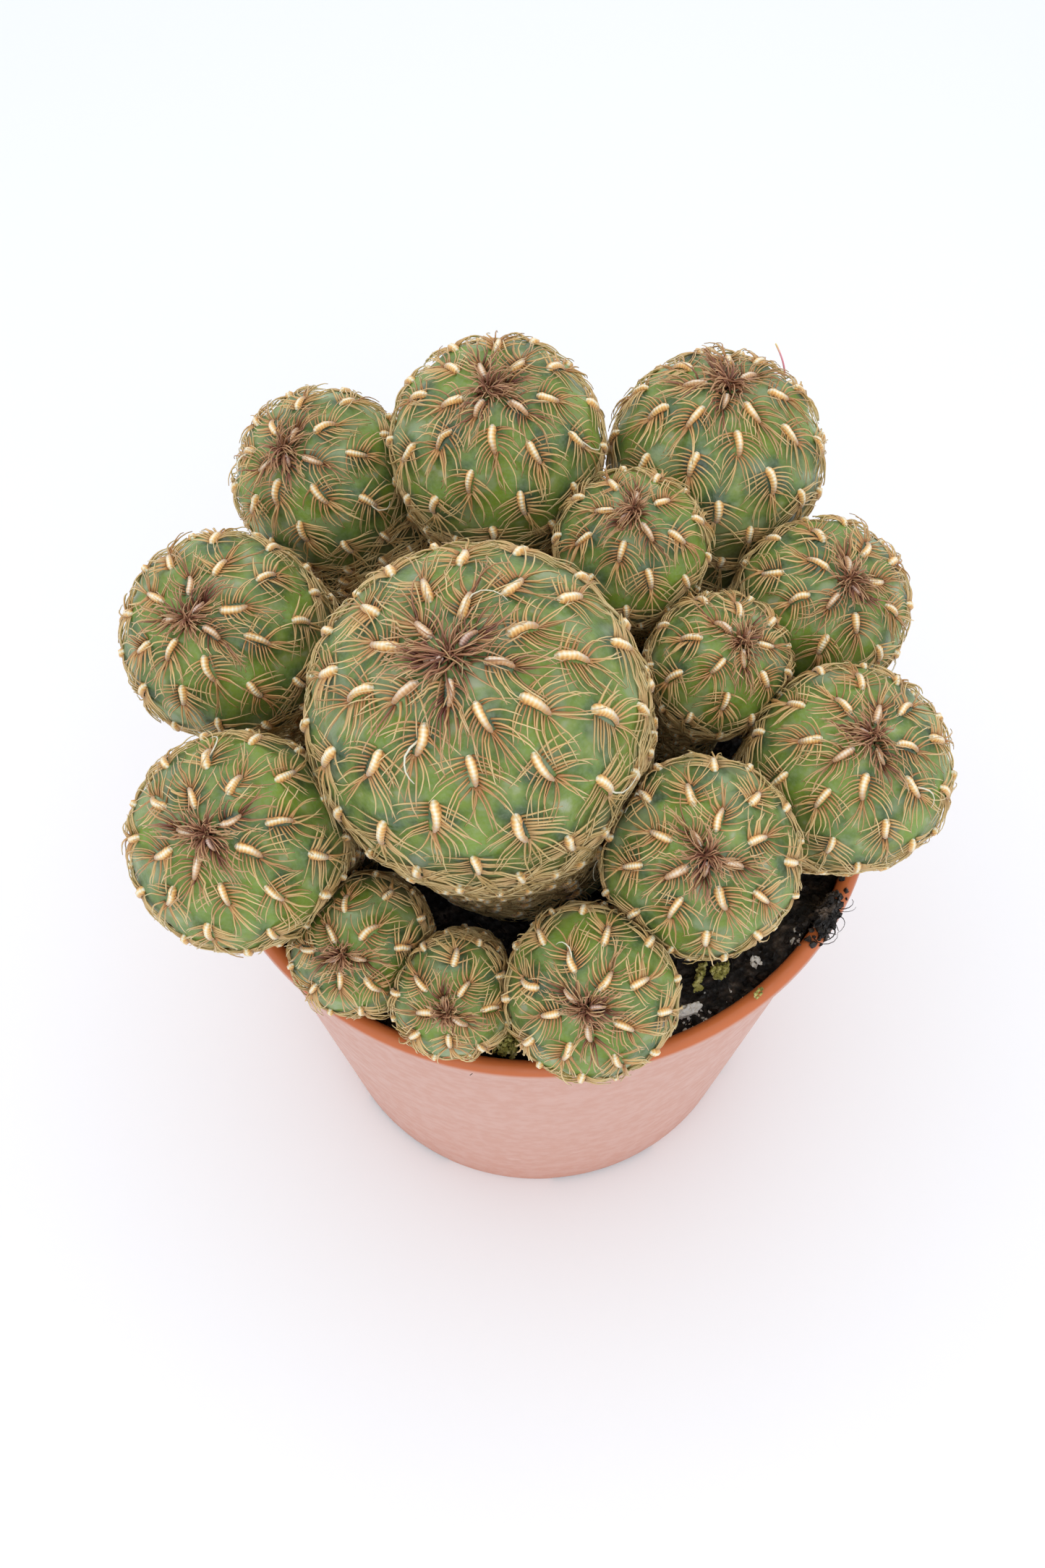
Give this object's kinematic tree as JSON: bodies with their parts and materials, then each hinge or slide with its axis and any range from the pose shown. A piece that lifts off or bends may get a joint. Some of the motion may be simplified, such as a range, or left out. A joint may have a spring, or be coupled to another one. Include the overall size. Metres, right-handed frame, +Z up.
{
  "type": "potted round cactus",
  "caption": "Clump of round green cactus heads with comb-like spines, growing in a small tapered round plastic pot.",
  "frame": {"origin": "middle of the flat underside of the pot, which rests on z = 0", "axes": "+Z up along the pot's axis; -Y is the front, where the small heads hang over the rim"},
  "size_m": [0.1004, 0.0965, 0.1168],
  "materials": {
    "pot_plastic": "smooth satin terracotta plastic",
    "peat": "moist crumbly peat",
    "cactus_skin": "waxy satin green skin",
    "moss": "matt fibrous moss",
    "pale_scraps": "dry matt",
    "flower_thread": "dry matt thread"
  },
  "bodies": {
    "root": {"pot": "pot_plastic", "soil": "peat", "mother_head": "cactus_skin", "head_back_left": "cactus_skin", "head_back": "cactus_skin", "head_back_right": "cactus_skin", "head_small_back": "cactus_skin", "head_right_rear": "cactus_skin", "head_small_right": "cactus_skin", "head_right": "cactus_skin", "head_front_right": "cactus_skin", "head_front": "cactus_skin", "head_small_front": "cactus_skin", "head_small_left": "cactus_skin", "head_left_front": "cactus_skin", "head_left_rear": "cactus_skin", "moss_cushion_right": "moss", "moss_tuft_front": "moss", "moss_tuft_left": "moss", "moss_crumb_on_rim": "moss", "peat_crumb_on_rim": "peat", "bark_chip": "pale_scraps", "perlite_grain": "pale_scraps", "flower_thread": "flower_thread"}
  },
  "joints": []
}
